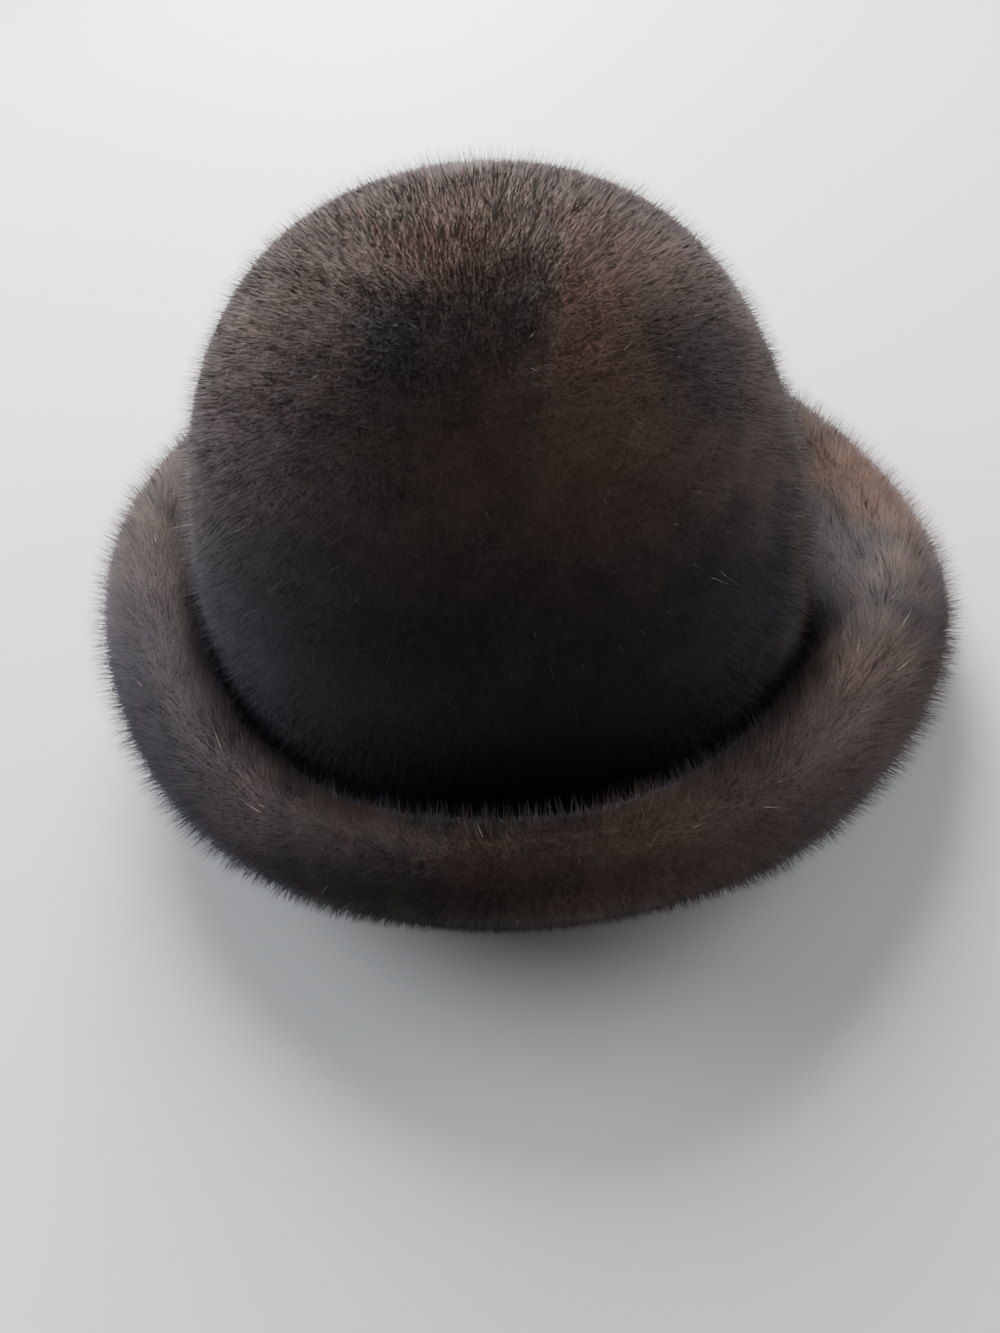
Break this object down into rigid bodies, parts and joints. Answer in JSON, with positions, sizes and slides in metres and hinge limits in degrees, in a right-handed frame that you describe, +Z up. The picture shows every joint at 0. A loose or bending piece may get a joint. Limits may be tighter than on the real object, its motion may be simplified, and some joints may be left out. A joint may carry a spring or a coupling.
{
  "type": "fur hat with upturned brim",
  "caption": "Round-crowned dark brown fur hat, hollow for the head, with a thick soft brim turned up all round and lower on one side.",
  "frame": {"origin": "middle of the box's bottom face, on the surface that the hat stands on", "axes": "+Z up through the crown, X across the hat, -Y towards the side that the picture is taken from"},
  "size_m": [0.2662, 0.2794, 0.148],
  "materials": {
    "crown_fur": "dense glossy brown-black fur, lighter and redder round the crown's top",
    "brim_fur": "dense glossy brown fur with a rounded, brushed-out rim",
    "inner_cloth": "plain dark felt inside the hollow"
  },
  "bodies": {
    "root": {"crown": "crown_fur", "brim": "brim_fur"}
  },
  "joints": []
}
